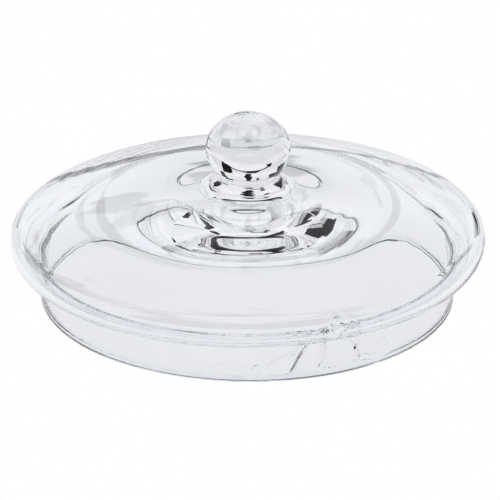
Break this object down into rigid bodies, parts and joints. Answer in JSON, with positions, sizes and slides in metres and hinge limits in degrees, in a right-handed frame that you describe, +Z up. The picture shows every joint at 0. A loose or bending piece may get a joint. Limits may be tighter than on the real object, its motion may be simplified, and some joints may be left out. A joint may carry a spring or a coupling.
{
  "type": "glass dish lid",
  "caption": "Clear glass lid with a shallow domed cover, rolled overhanging brim, short locating collar and solid ball knob, for a small liquid dish.",
  "frame": {"origin": "on the lid's axis, in the plane of the collar's ground lip that the lid rests on", "axes": "+Z up along the lid's axis towards the ball knob; the lid is round, so +X and +Y are free"},
  "size_m": [0.1, 0.1, 0.0411],
  "materials": {
    "dome_glass": "clear blown glass, fire polished, faint waves",
    "brim_glass": "clear blown glass, fire polished",
    "collar_glass": "clear blown glass with faint upright streaks",
    "lip_glass": "fire-polished bead with a narrow ground land",
    "knob_glass": "solid clear glass, fire polished",
    "ball_glass": "solid clear glass with a swirl mark on top"
  },
  "bodies": {
    "root": {"cover_dome": "dome_glass", "rolled_brim": "brim_glass", "locating_collar": "collar_glass", "collar_lip": "lip_glass", "knob_foot": "knob_glass", "knob_neck": "knob_glass", "knob_ball": "ball_glass"}
  },
  "joints": []
}
